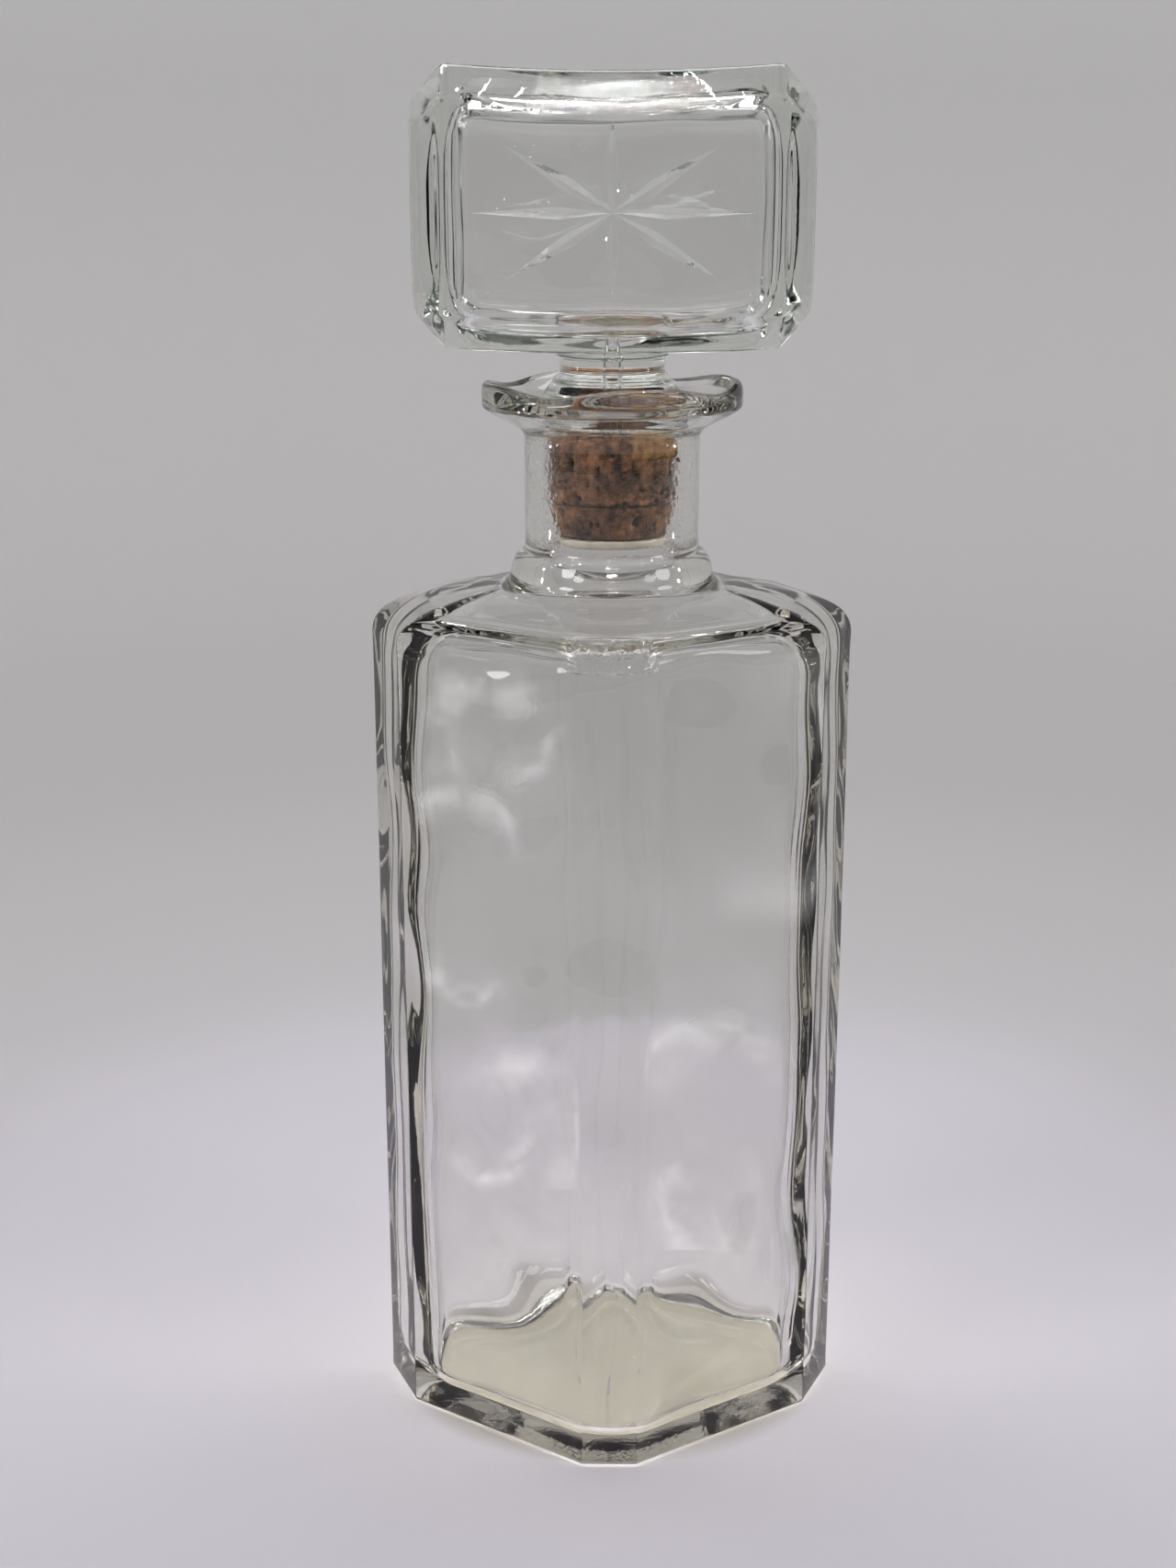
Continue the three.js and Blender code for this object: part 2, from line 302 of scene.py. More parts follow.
def foot_rings():
    """A shallow recess underneath, the flat ring that it stands on, and a small round heel."""
    edge = plan_ring(foot_ring_inset, 0, 9)
    under = []
    for share in (0.1, 0.25, 0.4, 0.55, 0.7, 0.82, 0.91, 0.97, 1):
        ring = edge * share
        ring[:, 2] = foot_recess * (1 - share**4) ** 1.5
        under.append(ring)
    flat = [plan_ring(inset, 0, radius) for inset, radius in ((7, 6), (4, 3), (heel, 1.2))]
    curve = [
        plan_ring(heel * (1 - math.sin(a)), heel * (1 - math.cos(a)), edge_radius)
        for a in np.linspace(0.25, math.pi / 2, 6)
    ]
    return under + flat + curve


def wall_rings():
    """The body's outside from the heel to the shoulder, with the faint waves of moulded glass."""
    ripple = wave_field(24, 120, 26)
    rings = []
    for height in np.arange(4.0, rim_start - 0.5, 4.4):
        ring = plan_ring(0, height, edge_radius)
        ring[:, :2] *= 1 - 0.0007 * (1 + ripple(ring))[:, None]
        rings.append(ring)
    return rings


def rim_rings():
    """The top of the wall: a leaning cut on the narrow flats, a tight roll on the wide, a soft one beside."""
    side = bezier((0, 0.8), (0.2, 6), (6.8, 8.4), 60)
    lean = 1.2
    turn = 5.6
    rings = []
    for height in (0, 0.35, 0.6, 0.85, 1.5, 2.5, 3.5, 4.5, 5.2, turn):
        front = lean * max(height - 0.6, 0) / (turn - 0.6)
        insets = by_kind(front, 0, np.interp(height, side[:, 1], side[:, 0]))
        rings.append(plan_ring(insets, rim_start + height, edge_radius))
    steps = 9
    front = bezier((lean, turn), (lean + 0.35, turn + 1.75), (lean + 2, turn + 2.15), steps)
    wide = bezier((0, turn), (0, turn + 1.75), (2, turn + 2.1), steps)
    rest = np.linspace(turn, side[-1, 1], steps + 1)
    for k in range(1, steps + 1):
        insets = by_kind(front[k, 0], wide[k, 0], np.interp(rest[k], side[:, 1], side[:, 0]))
        heights = by_kind(front[k, 1], wide[k, 1], rest[k])
        rings.append(plan_ring(insets, rim_start + heights, edge_radius + 4 * (k / steps) ** 1.5))
    return rings


def crown_rings(first, radius, height, steps):
    """The gently domed top of the shoulder, from the rim to the foot of the collar."""
    last = round_ring(radius, height)
    return [
        between(first, last, t, 1 - (1 - t) ** 1.4)
        for t in np.linspace(0, 1, steps + 1)[1:]
    ]


def neck_outside():
    """The collar, the neck and the flare under the lip."""
    top = crown_height
    side = (collar_radius + 0.6, top + 2.8)
    bend = (collar_radius - 0.2, top + 5.3)
    shelf = (collar_radius - 1.8, top + 7.5)
    flare = (21.2, seat_height - 1.9)
    profile = path(
        bezier((collar_foot, top - 0.2), (collar_radius + 1.2, top + 0.2), side, 8),
        bezier(side, (collar_radius + 0.3, top + 4.2), bend, 4),
        bezier(bend, (collar_radius - 0.7, top + 6.9), shelf, 6),
        bezier(shelf, (neck_radius, top + 8), (neck_radius, top + 9.5), 6),
        [(neck_radius, z) for z in np.arange(top + 12, seat_height - 5.5, 3)],
        bezier((neck_radius, seat_height - 4.8), (neck_radius + 0.1, seat_height - 3), flare, 6),
        bezier(flare, (26, seat_height + 0.4), (27.4, lip_under), 6),
        bezier((27.4, lip_under), (lip_radius, lip_under + 0.3), (lip_radius, lip_under + 1.3), 4),
    )
    return [round_ring(r, z) for r, z in profile[1:]]


def notch(angles):
    """1 in the middle of each of the lip's pouring notches, 0 between them."""
    first = math.radians(notch_degrees)
    return ((1 + np.cos(notch_count * (angles - first))) / 2) ** 1.6


def lip_rings():
    """The rim of the lip, from its outer face over the top to the dish."""
    profile = [
        (lip_radius, lip_under + 2.6, 0.1),
        (lip_radius + 0.1, lip_top - 2.6, 0.4),
        (lip_radius, lip_top - 1.4, 0.8),
        (lip_radius - 0.3, lip_top - 0.6, 1),
        (lip_radius - 0.9, lip_top - 0.1, 1),
        (lip_radius - 1.5, lip_top, 1),
        (dish_radius, lip_top - 0.4, 1),
        (dish_radius - 0.9, lip_top - 1.3, 0.9),
        (dish_radius - 2.2, lip_top - 2.6, 0.7),
        (dish_radius - 4.2, lip_top - 4.3, 0.4),
        (dish_radius - 6.6, lip_top - 6, 0.15),
    ]
    rings = []
    for radius, height, share in profile:
        dip = share * notch(directions)
        ring = round_ring(radius, height)
        ring[:, :2] *= (1 - notch_inset * dip)[:, None]
        ring[:, 2] -= notch_dip * dip
        rings.append(ring)
    return rings


def neck_inside():
    """The seat in the dish, the bore, and the bore's flare into the body."""
    flow = wave_field(10, 40, 14)
    flare = (17.2, crown_height - 1)
    profile = path(
        bezier((17, seat_height), (bore_radius + 0.4, seat_height - 0.8), (bore_radius, seat_height - 3), 5),
        [(bore_radius, z) for z in np.arange(seat_height - 5, crown_height + 8, -2.5)],
        bezier((bore_radius, crown_height + 7), (bore_radius + 0.3, crown_height + 2.4), flare, 7),
        bezier((18, crown_height - 1.6), (20, crown_height - 3), (23, crown_height - 4.1), 3),
    )
    rings = [round_ring(r, z) for r, z in profile]
    for ring in rings[6:]:
        ring[:, :2] *= 1 + 0.006 * flow(ring)[:, None]
    return rings


inner_flow = wave_field(26, 60, 20)
inner_grain = wave_field(30, 22, 8)


def wall_inside():
    """The blown inside: the rim's hollow, then down the wavy wall, in to the floor."""
    steps = 10
    rise = rim_start
    shapes = {
        0: bezier((wall, rise - 6), (wall, rise + 3.5), (10, rise + 4.3), steps),
        1: bezier((wall - 0.3, rise - 3), (wall - 0.3, rise + 3.9), (8.5, rise + 4.5), steps),
        2: bezier((side_wall, rise - 9), (side_wall, rise + 3.2), (13, rise + 4.4), steps),
    }
    rings = []
    for k in range(steps, -1, -1):
        inset, height = (by_kind(*(shapes[kind][k, i] for kind in range(3))) for i in (0, 1))
        rings.append(plan_ring(inset, height, inside_corner))
    first = rings[0]
    last = round_ring(23, crown_height - 4.1)
    dome = [between(last, first, t, t**1.5) for t in (0.2, 0.45, 0.72)]
    for height in np.arange(rise - 10, 12.5, -3.2):
        rings.append(plan_ring(inside_insets, height, inside_corner))
    start = len(dome) + 4
    rings = dome + rings
    for k, ring in enumerate(rings):
        share = min(max((k - start) / 6, 0), 1)
        wavy(ring, share)
    return rings


def wavy(ring, share):
    """Moves a ring of the inside in and out, as blown glass does, with a slack waist low on the body."""
    waist = np.exp(-(((ring[:, 2] - waist_height) / waist_reach) ** 2))
    flow = 0.62 * inner_flow(ring) + 0.015 * inner_grain(ring) - 0.45 * waist
    length = np.linalg.norm(ring[:, :2], axis=1)
    ring[:, :2] *= (1 + share * flow / length)[:, None]


def floor_inside():
    """The round corner at the foot of the wall, and the slightly uneven floor."""
    corner = 6
    rings = []
    for a in np.linspace(0, math.pi / 2, 8):
        inset = inside_insets + corner * (1 - math.cos(a))
        ring = plan_ring(inset, floor_top + corner * (1 - math.sin(a)), inside_corner)
        wavy(ring, math.cos(a) * 0.9 + 0.1)
        rings.append(ring)
    edge = rings[-1]
    middle = edge.mean(0)
    sag = wave_field(12, 60, 16)
    for t in (0.12, 0.26, 0.42, 0.6, 0.78, 0.92):
        ring = edge * (1 - t) + middle * t
        ring[:, 2] += 0.14 * sag(ring) * math.sin(math.pi * t) - 0.25 * t
        rings.append(ring)
    return rings


def points_of(piece):
    """A piece's points, in millimetres."""
    return np.array([v.co for v in piece.data.vertices]) / MM


def make_bottle():
    """The bottle's glass, crinkled on the shoulder's front cut, in the bore and on the floor."""
    rim = rim_rings()
    crown = crown_rings(rim[-1], collar_foot, crown_height - 0.2, 12)
    rings = (
        foot_rings() + wall_rings() + rim + crown + neck_outside() + lip_rings()
        + neck_inside() + wall_inside() + floor_inside()
    )
    bottle = ring_mesh("bottle_glass", rings)
    smooth(bottle, 40)
    x, y, z = points_of(bottle).T
    front_cut = (np.abs(x) < 8.2) & (y < -36) & (np.abs(z - rim_start - 3.6) < 3.4)
    neck_skin = (np.abs(np.hypot(x, y) - bore_radius) < 0.6) & (z > crown_height + 8)
    floor_skin = (np.abs(z - floor_top) < 0.5) & (np.abs(x) < 40)
    set_crinkle(bottle, 1.6 * front_cut + 0.45 * neck_skin + 0.12 * floor_skin)
    return bottle


# ---------------------------------------------------------------- stopper


def soft_past(x, start, radius):
    """How far x is past start, turning smoothly within the radius."""
    over = x - start
    return 0.5 * (over + np.sqrt(over * over + radius * radius))


def block_rings():
    """Upright sections across the block's width, each an eight-cornered outline with small round corners."""
    panel = block_half_width - block_corner
    inner = np.linspace(0, panel - 1.5, 12)
    outer = np.linspace(panel - 1, block_half_width - block_edge, 22)
    tip = block_half_width - block_edge * (1 - np.sin(np.linspace(0.3, math.pi / 2, 4)))
    half = np.concatenate([inner, outer, tip])
    stations = np.concatenate([-half[:0:-1], half])
    return [block_section(x) for x in stations]


def block_section(x):
    """The outline at x: level with the panels, less the corner cuts, and bowed down in the middle."""
    soft = 0.5
    bow = 1 - min(abs(x) / (block_half_width - block_corner), 1) ** 2
    past = soft_past(abs(x), block_half_width - block_corner, soft)
    past_panel = soft_past(abs(x), block_half_width - block_bevel, soft)
    tip = max(abs(x) - (block_half_width - block_edge), 0) / block_edge
    round_off = block_edge * (1 - math.sqrt(max(1 - tip * tip, 0)))
    sag = block_bottom_sag * bow
    top = block_top - past - block_top_dip * bow - round_off
    bottom = block_bottom + past - sag + round_off
    depth = block_half_depth - past_panel - round_off
    panel_top = block_top - block_bevel - past * 0.8 - block_bevel_dip * bow
    panel_bottom = block_bottom + block_bevel + past * 0.8 - sag
    edge = depth - block_bevel * 0.8
    outline_yz = np.array([
        (-depth, panel_bottom), (-edge, bottom), (edge, bottom), (depth, panel_bottom),
        (depth, panel_top), (edge, top), (-edge, top), (-depth, panel_top),
    ])
    rounded = round_corners(outline_yz, 0.9, 4)
    return np.column_stack([np.full(len(rounded), x), rounded])


def round_corners(points, cut, steps):
    """Replaces each corner of a closed outline with a short curve."""
    made = []
    for k, corner in enumerate(points):
        before, after = points[k - 1], points[(k + 1) % len(points)]
        start = corner + (before - corner) / np.linalg.norm(before - corner) * cut
        end = corner + (after - corner) / np.linalg.norm(after - corner) * cut
        made.append(bezier(start, corner, end, steps))
    return np.vstack(made)


def hollow_rings():
    """The blown hollow of the block: a rounded box with a wavy surface, sagging with the block's top."""
    end_skin, front_skin, top_skin = 6.6, 5, 6
    half = block_half_width - end_skin
    depth = block_half_depth - front_skin
    height = (block_top - block_bottom) / 2 - top_skin
    middle = (block_top + block_bottom) / 2 - 0.4
    flow = wave_field(18, 40, 14)
    count = 96
    angles = np.linspace(0, 2 * math.pi, count, endpoint=False)
    c, s = np.cos(angles), np.sin(angles)
    square = 8
    size = (np.abs(c) ** square + np.abs(s) ** square) ** (-1 / square)
    rings = []
    for part in np.sin(np.linspace(-math.pi / 2 * 0.99, math.pi / 2 * 0.99, 56)):
        shrink = max(1 - abs(part) ** 18, 0.004) ** 0.36
        sag = 2.2 * (1 - part * part)
        ring = np.column_stack([
            np.full(count, part * half),
            c * size * depth * shrink,
            middle + s * size * height * shrink - sag * 0.8,
        ])
        ring += 0.3 * flow(ring)[:, None] * np.column_stack([np.zeros(count), c, s])
        rings.append(ring)
    return rings


def stem_profile():
    """From the peg's end up past the dome, which is faintly stepped, to the shank under the block."""
    dome_centre = seat_height - 2.7
    dome = 16.4
    foot = seat_height + 0.9
    peg = 8
    low = cork_low.z + 1.6
    start = math.asin((foot + 0.7 - dome_centre) / dome)
    end = math.acos(11.9 / dome)
    sphere = [
        ((dome + 0.22 * math.sin(28 * a)) * math.cos(a), dome_centre + dome * math.sin(a))
        for a in np.linspace(start, end, 36)
    ]
    shank = 11.7
    under = block_bottom
    return path(
        [(on_axis, low), (peg - 0.8, low)],
        bezier((peg - 0.8, low), (peg, low), (peg, low + 0.8), 3),
        [(peg, foot)],
        bezier((sphere[0][0] - 0.9, foot), (sphere[0][0] - 0.1, foot), sphere[0], 3),
        sphere,
        bezier(sphere[-1], (shank - 0.5, sphere[-1][1] + 0.7), (shank - 0.5, sphere[-1][1] + 1.3), 4),
        bezier((shank - 0.5, under - 2.8), (shank + 0.7, under - 2.2), (shank + 0.4, under - 1.2), 5),
        bezier((shank + 0.3, under - 0.9), (shank + 0.1, under - 0.3), (shank + 0.3, under + 2), 3),
        [(on_axis, under + 2)],
    )


def ray_cutter(degrees, length):
    """One spear-shaped cut of the star: pointed at both ends and V-shaped in section."""
    depth = 1.75
    half = 1.75 * (0.72 + 0.28 * abs(math.sin(math.radians(degrees))))
    widest = length * 0.38
    proud = 2
    past = proud / depth
    points = np.array([
        (-widest * past, 0, proud), (length + (length - widest) * past, 0, proud),
        (widest, half * (1 + past), proud), (widest, -half * (1 + past), proud), (widest, 0, -depth),
    ])
    faces = [(0, 3, 1), (0, 1, 2), (0, 2, 4), (2, 1, 4), (1, 3, 4), (3, 0, 4)]
    mesh = bpy.data.meshes.new("ray")
    mesh.from_pydata([tuple(p) for p in points * MM], [], faces)
    turn = Matrix.Rotation(math.radians(90), 4, "X") @ Matrix.Rotation(math.radians(degrees), 4, "Z")
    middle = Vector((0, -block_half_depth, (block_top + block_bottom) / 2 - 0.9)) * MM
    mesh.transform(Matrix.Translation(middle) @ turn)
    ray = bpy.data.objects.new("ray", mesh)
    bpy.context.scene.collection.objects.link(ray)
    return ray


def make_stopper():
    """The stopper's glass: block and stem in one, hollowed, bored, and cut with the star."""
    block = ring_mesh("stopper_glass", block_rings())
    combine(block, turned("stem", stem_profile(), 96), "UNION")
    combine(block, ring_mesh("hollow", hollow_rings()), "DIFFERENCE")
    low, high = cork_low.z, block_bottom + 8
    vent = [(on_axis, low), (vent_radius, low), (vent_radius, high), (on_axis, high)]
    combine(block, turned("vent", vent, 48), "DIFFERENCE")
    rays = [(90, 18), (270, 16.8), (0, 29), (180, 29), (31, 25.5), (149, 25.5), (211, 25.5), (329, 25.5)]
    for degrees, length in rays:
        combine(block, ray_cutter(degrees, length), "DIFFERENCE")
    smooth(block, 24)
    modifier = block.modifiers.new("flat faces stay flat", "WEIGHTED_NORMAL")
    modifier.keep_sharp = True
    modifier.weight = 80
    x, y, z = points_of(block).T
    middle = 0.5 * (block_bottom + block_top)
    grooves = (np.abs(x) < 30) & (np.abs(z - middle) < 20) & (y < -15.5) & (y > 0.05 - block_half_depth)
    set_crinkle(block, 0.3 * grooves)
    return block


# ---------------------------------------------------------------- cork and seal disc


def make_cork():
    """Natural cork: squeezed against the bore above, tapered below a turned line, with open pores."""
    top, bottom = cork_high.z, cork_low.z
    radius, end = bore_radius - 0.12, 12.2
    line = bottom + 7.3
    profile = path(
        bezier((end - 0.9, bottom), (end, bottom), (end, bottom + 0.8), 4),
        np.linspace((end, bottom + 1.2), (radius - 0.25, line - 0.5), 14),
        bezier((radius - 0.25, line - 0.45), (radius - 0.7, line), (radius - 0.12, line + 0.35), 4),
        np.linspace((radius, line + 0.8), (radius, top - 0.9), 60),
        bezier((radius, top - 0.6), (radius, top), (radius - 0.9, top), 3),
        [(8.3, top), (8.3, bottom)],
    )
    cork = turned("cork_body", profile, 300, closed=True)
    pit_count = 260
    z = random.uniform(bottom + 1.5, top - 0.5, pit_count)
    angle = random.uniform(0, 2 * math.pi, pit_count)
    depth = random.uniform(0.3, 1.1, pit_count) ** 1.5
    tall = random.uniform(0.25, 1.3, pit_count)
    wide = random.uniform(0.15, 0.5, pit_count)
    grain = wave_field(40, 6, 1.2)
    co = points_of(cork)
    r = np.linalg.norm(co[:, :2], axis=1)
    a = np.arctan2(co[:, 1], co[:, 0])
    away = (a[:, None] - angle[None] + math.pi) % (2 * math.pi) - math.pi
    pit = np.exp(-((away * radius / wide) ** 2) - ((co[:, 2:] - z[None]) / tall) ** 2)
    sunk = (pit * depth).max(1) + 0.05 * (1 + grain(co))
    outside = np.clip((r - 10.5) / 1.5, 0, 1)
    edge = grain(co)
    # The patch pressed to the glass is right of the front, in the top 8.4 mm.
    press = np.clip((0.4 - np.abs(a + 0.95)) / 0.06 + 0.5 * edge, 0, 1)
    press *= np.clip((co[:, 2] - top + 8.4) / 0.5 + 0.5 * edge, 0, 1)
    new = r - outside * sunk * (1 - press) + outside * press * 0.42
    co[:, :2] *= (new / r)[:, None]
    cork.data.vertices.foreach_set("co", (co * MM).ravel())
    pores = cork.data.attributes.new("pore", "FLOAT", "POINT")
    # Darker the deeper each pore sinks, and dark along the turned line as well.
    turned_line = 0.9 * np.exp(-(((co[:, 2] - line) / 0.35) ** 2))
    dark = np.clip(np.maximum((pit * depth).max(1) * 1.8, turned_line), 0, 1)
    pores.data.foreach_set("value", dark.astype(np.float32))
    wet = cork.data.attributes.new("pressed", "FLOAT", "POINT")
    wet.data.foreach_set("value", press.astype(np.float32))
    smooth(cork, 60)
    return cork


def make_disc():
    """The disc under the cork, with a small step up into the cork's bore."""
    top = disc_high.z - 1
    low = disc_low.z
    profile = path(
        [(on_axis, low), (9, low)],
        bezier((11, low + 0.1), (12, low + 0.1), (12.05, low + 0.9), 4),
        bezier((12.05, top - 0.5), (12.05, top), (11.5, top + 0.05), 3),
        [(8, top + 0.05), (7.9, top + 0.9), (on_axis, top + 0.95)],
    )
    disc = turned("seal", profile, 128)
    smooth(disc, 40)
    return disc


# ---------------------------------------------------------------- materials


class Nodes:
    """A small builder for a material's nodes."""

    def __init__(self, name):
        self.material = bpy.data.materials.new(name)
        self.material.use_nodes = True
        self.tree = self.material.node_tree
        self.shader = self.tree.nodes["Principled BSDF"]
        self.output = self.tree.nodes["Material Output"]

    def add(self, kind, values=(), **settings):
        node = self.tree.nodes.new(kind)
        for key, value in settings.items():
            setattr(node, key, value)
        for key, value in dict(values).items():
            if isinstance(value, bpy.types.NodeSocket):
                self.tree.links.new(value, node.inputs[key])
            else:
                node.inputs[key].default_value = value
        return node

    def set(self, **values):
        for key, value in values.items():
            socket = self.shader.inputs[key.replace("_", " ")]
            if isinstance(value, bpy.types.NodeSocket):
                self.tree.links.new(value, socket)
            else:
                socket.default_value = value

    def ramp(self, value, stops):
        node = self.add("ShaderNodeValToRGB", {"Fac": value})
        while len(node.color_ramp.elements) < len(stops):
            node.color_ramp.elements.new(0.5)
        for element, (position, colour) in zip(node.color_ramp.elements, stops):
            element.position = position
            element.color = colour if len(colour) == 4 else (*colour, 1)
        return node.outputs["Color"]

    def place(self, scale):
        """Object coordinates stretched by this scale."""
        source = self.add("ShaderNodeTexCoord")
        mapping = self.add("ShaderNodeMapping", {"Vector": source.outputs["Object"], "Scale": scale})
        return mapping.outputs["Vector"]

    def noise(self, scale, detail=4, roughness=0.5, stretch=(1, 1, 1)):
        values = {"Vector": self.place(stretch), "Scale": scale, "Detail": detail, "Roughness": roughness}
        return self.add("ShaderNodeTexNoise", values).outputs["Fac"]

    def multiply(self, value, factor):
        return self.add("ShaderNodeMath", {0: value, 1: factor}, operation="MULTIPLY").outputs[0]

    def plus(self, one, other):
        return self.add("ShaderNodeMath", {0: one, 1: other}, operation="ADD").outputs[0]

    def mix(self, share, one, other, blend_type="MIX"):
        values = {0: share, 6: one, 7: other}
        return self.add("ShaderNodeMix", values, data_type="RGBA", blend_type=blend_type).outputs[2]

    def attribute(self, name):
        return self.add("ShaderNodeAttribute", attribute_name=name).outputs["Fac"]


def glass_material(name, clearness, absorbed, density, ripple):
    """Clear glass: a smooth, faintly rippled face, light smears, and a tint that grows with depth."""
    n = Nodes(name)
    n.set(Base_Color=(clearness, clearness, clearness * 0.995, 1), Transmission_Weight=1.0, IOR=1.52)
    smear = n.ramp(n.noise(28, 5, 0.6), [(0.52, (0, 0, 0)), (0.72, (1, 1, 1))])
    n.set(Roughness=n.multiply(smear, 0.03))
    slow = n.noise(34, 2, 0.4, (1, 1, 0.5))
    crinkle = n.noise(900, 2, 0.5)
    faint, strong = (0.004, 0.004, 0.004), (0.05, 0.05, 0.05)
    patches = n.ramp(n.noise(46, 2, 0.5), [(0.5, faint), (0.68, strong)])
    share = n.plus(n.multiply(n.attribute("crinkle"), 0.9), patches)
    height = n.plus(slow, n.multiply(crinkle, share))
    bump = n.add("ShaderNodeBump", {"Height": height, "Strength": ripple, "Distance": 0.001})
    n.set(Normal=bump.outputs["Normal"])
    clear = n.add("ShaderNodeBsdfTransparent", {"Color": (0.75, 0.745, 0.715, 1)})
    shadow = n.add("ShaderNodeLightPath").outputs["Is Shadow Ray"]
    mixed = n.add("ShaderNodeMixShader", {0: shadow, 1: n.shader.outputs[0], 2: clear.outputs[0]})
    n.tree.links.new(mixed.outputs[0], n.output.inputs["Surface"])
    inside = n.add("ShaderNodeVolumeAbsorption", {"Color": (*absorbed, 1), "Density": density})
    n.tree.links.new(inside.outputs["Volume"], n.output.inputs["Volume"])
    return n.material


def cork_material():
    """Natural cork, brown in patches, with dark pores and a lighter patch where the glass presses it."""
    n = Nodes("natural_cork")
    grain = n.noise(420, 8, 0.7, (1, 1, 0.6))
    patches = n.noise(120, 4, 0.6)
    dark, brown, light = (0.022, 0.010, 0.006), (0.105, 0.046, 0.024), (0.27, 0.135, 0.066)
    body = n.ramp(grain, [(0.36, dark), (0.49, brown), (0.68, light)])
    shade = n.ramp(patches, [(0.36, (0.4, 0.36, 0.37)), (0.62, (1.25, 1.2, 1.1))])
    shaded = n.mix(0.8, body, shade, "MULTIPLY")
    pored = n.mix(n.attribute("pore"), shaded, (0.012, 0.006, 0.004, 1))
    gold = n.ramp(grain, [(0.38, (0.13, 0.062, 0.026)), (0.64, (0.36, 0.21, 0.085))])
    final = n.mix(n.multiply(n.attribute("pressed"), 0.85), pored, gold)
    n.set(Base_Color=final, Roughness=n.ramp(grain, [(0.3, (0.9, 0.9, 0.9)), (0.8, (0.6, 0.6, 0.6))]))
    fine = n.noise(1400, 4, 0.6)
    bump = n.add("ShaderNodeBump", {"Height": fine, "Strength": 0.5, "Distance": 0.0003})
    n.set(Normal=bump.outputs["Normal"])
    n.shader.inputs["Specular IOR Level"].default_value = 0.3
    return n.material


def disc_material():
    """Pale, faintly stained and nearly matte."""
    n = Nodes("pale_disc")
    stain = n.noise(160, 4, 0.6)
    n.set(Base_Color=n.ramp(stain, [(0.35, (0.36, 0.32, 0.27)), (0.65, (0.5, 0.455, 0.39))]))
    n.set(Roughness=n.ramp(stain, [(0.3, (0.35, 0.35, 0.35)), (0.7, (0.55, 0.55, 0.55))]))
    bump = n.add("ShaderNodeBump", {"Height": n.noise(800, 3), "Strength": 0.2, "Distance": 0.0002})
    n.set(Normal=bump.outputs["Normal"])
    return n.material


def stage_material():
    """Pale paper, lavender near the decanter and greyer away from it, with painted light: lighter near the
    decanter, darker further out, lighter again up the wall, and a painted shade under its foot.
    """
    n = Nodes("paper")
    source = n.add("ShaderNodeTexCoord")
    far = n.add("ShaderNodeVectorMath", {0: source.outputs["Object"]}, operation="LENGTH").outputs["Value"]
    share = n.add("ShaderNodeMapRange", {0: far, 1: 0.16, 2: 1.4}).outputs[0]
    # Painted light: the paper is lighter near the decanter, darker further out on the floor and lighter again
    # up the wall.
    stops = [
        (0.0, (0.66, 0.632, 0.705)), (0.035, (0.655, 0.628, 0.695)), (0.1, (0.58, 0.563, 0.585)),
        (0.3, (0.55, 0.537, 0.545)), (0.45, (0.56, 0.55, 0.555)), (0.62, (0.655, 0.647, 0.647)),
        (1.0, (0.84, 0.84, 0.84)),
    ]
    # Painted shade: the paper under the bottle's foot is darkened, standing in for the shade beneath the
    # glass.
    flat = n.add("ShaderNodeVectorMath", {0: source.outputs["Object"], 1: (0.8, 1, 1)}, operation="MULTIPLY")
    near = n.add("ShaderNodeVectorMath", {0: flat.outputs[0]}, operation="LENGTH").outputs["Value"]
    under = n.add("ShaderNodeMapRange", {0: near, 1: 0.033, 2: 0.041, 3: 1, 4: 0}).outputs[0]
    paper = n.mix(under, n.ramp(share, stops), (0.4, 0.375, 0.35, 1))
    n.set(Base_Color=paper, Roughness=0.9)
    n.shader.inputs["Specular IOR Level"].default_value = 0.2
    return n.material


# ---------------------------------------------------------------- stage, lights and camera


def make_stage():
    """A round paper floor that turns up into a wall behind the decanter."""
    flat, bend, height, apron = 0.62, 0.34, 1.1, 1.7
    profile = [(0.02, 0)] + [(r, 0) for r in np.linspace(0.1, flat, 8)]
    flat_row = len(profile) - 1
    profile += [
        (flat + bend * math.sin(a), bend * (1 - math.cos(a))) for a in np.linspace(0.15, math.pi / 2, 10)
    ]
    profile += [(flat + bend, bend + (height - bend) * t) for t in (0.5, 1)]
    profile.append((apron, 0))
    steps = 96
    points, faces = [], []
    for radius, z in profile:
        for k in range(steps):
            a = 2 * math.pi * k / steps
            points.append((radius * math.cos(a), radius * math.sin(a), z))

    def quad(k, inner, outer):
        n = (k + 1) % steps
        faces.append((inner * steps + k, outer * steps + k, outer * steps + n, inner * steps + n))

    behind = [math.sin(2 * math.pi * (k + 0.5) / steps) >= 0.2 for k in range(steps)]
    for row in range(len(profile) - 2):
        for k in range(steps):
            if behind[k] or profile[row][1] <= 0.02:
                quad(k, row, row + 1)
    for k in range(steps):
        if not behind[k]:
            quad(k, flat_row, len(profile) - 1)
    points.append((0, 0, 0))
    for k in range(steps):
        faces.append((len(points) - 1, k, (k + 1) % steps))
    mesh = bpy.data.meshes.new("stage")
    mesh.from_pydata(points, [], faces)
    stage = bpy.data.objects.new("stage", mesh)
    stage.location.z = -0.0002
    bpy.context.scene.collection.objects.link(stage)
    for polygon in mesh.polygons:
        polygon.use_smooth = True
    stage.data.materials.append(stage_material())


